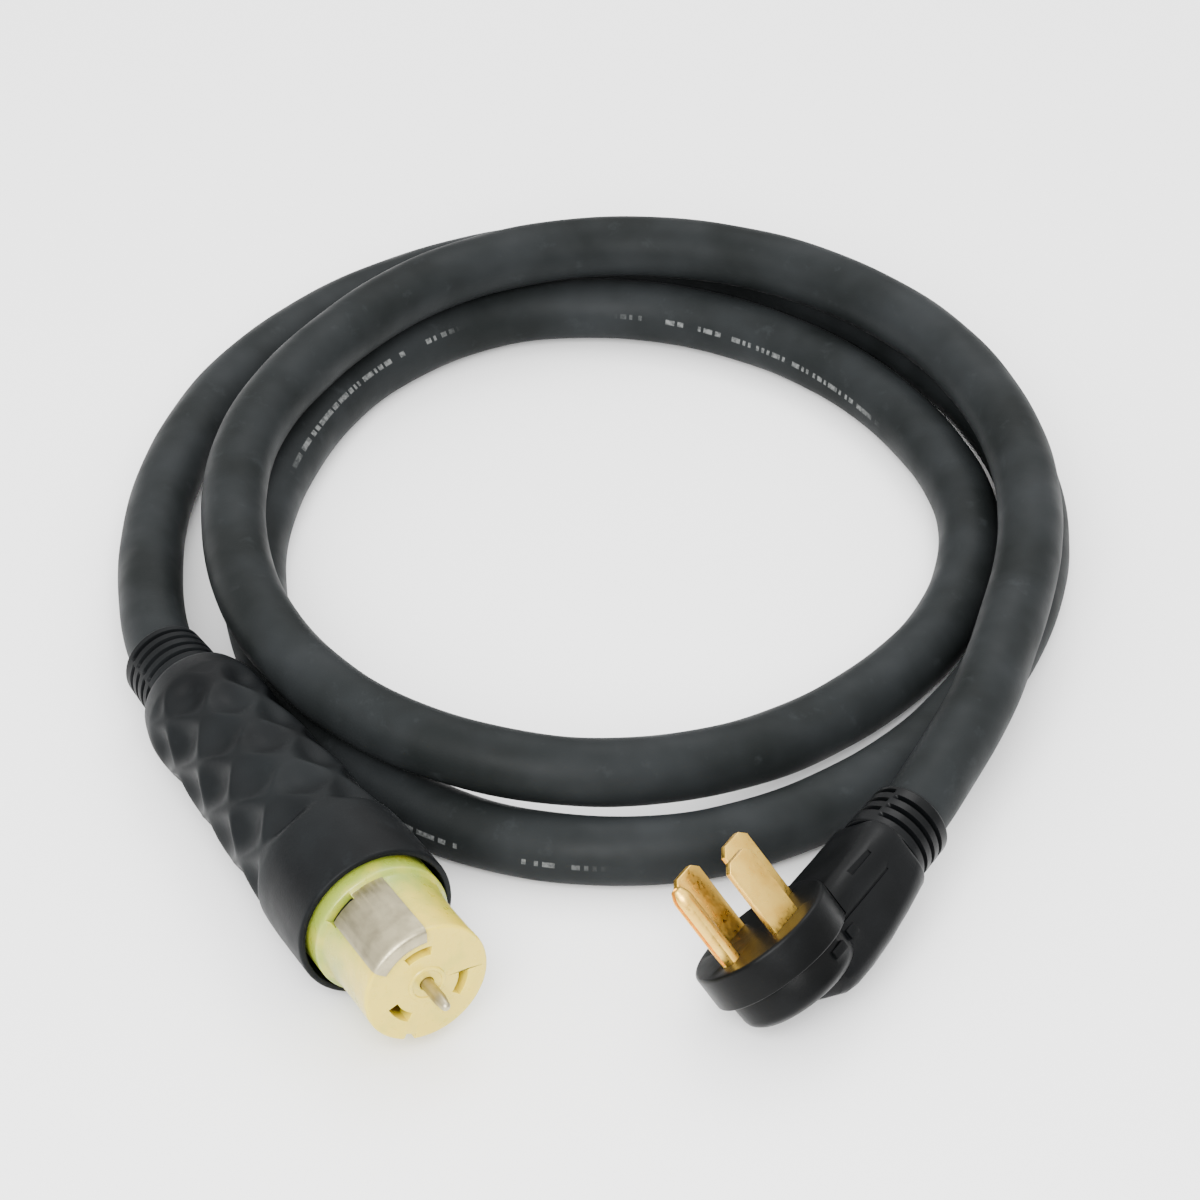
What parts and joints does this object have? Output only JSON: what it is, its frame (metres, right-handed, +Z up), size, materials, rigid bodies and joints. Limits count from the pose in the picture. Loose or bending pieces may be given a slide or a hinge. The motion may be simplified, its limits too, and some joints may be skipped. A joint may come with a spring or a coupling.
{
  "type": "shore power cord",
  "caption": "Coiled rubber shore power cord with an angled straight-blade plug on one end and a straight locking connector with curved contacts on the other.",
  "frame": {"origin": "bottom centre of the whole, on the surface that the coil lies on", "axes": "+Z up from the surface; the coil lies flat in X and Y with both cord ends towards -Y"},
  "size_m": [0.3455, 0.4681, 0.0639],
  "materials": {
    "cord_rubber": "satin grey-black cable jacket",
    "moulded_rubber": "satin moulded vinyl rubber",
    "wire_black": "wire insulation",
    "wire_red": "wire insulation",
    "wire_white": "wire insulation",
    "wire_green": "wire insulation",
    "filler": "twisted paper filler",
    "nose_nylon": "pale yellow moulded nylon",
    "inner_nylon": "moulded nylon",
    "brass": "bright stamped brass",
    "plated_metal": "dull nickel plate"
  },
  "bodies": {
    "root": {"cord_jacket": "cord_rubber", "conductor_black": "wire_black", "conductor_red": "wire_red", "conductor_white": "wire_white", "conductor_green": "wire_green", "cord_filler": "filler", "connector_overmould": "moulded_rubber", "connector_strain_relief": "moulded_rubber", "connector_nose": "nose_nylon", "connector_back_insulator": "inner_nylon", "contact_line_1": "brass", "contact_line_2": "brass", "contact_neutral": "brass", "connector_ground_strip": "plated_metal", "connector_centre_pin": "plated_metal", "plug_overmould": "moulded_rubber", "plug_strain_relief": "moulded_rubber", "plug_face": "moulded_rubber", "hot_blade_1": "brass", "hot_blade_2": "brass", "neutral_blade": "brass", "ground_pin": "brass"}
  },
  "joints": []
}
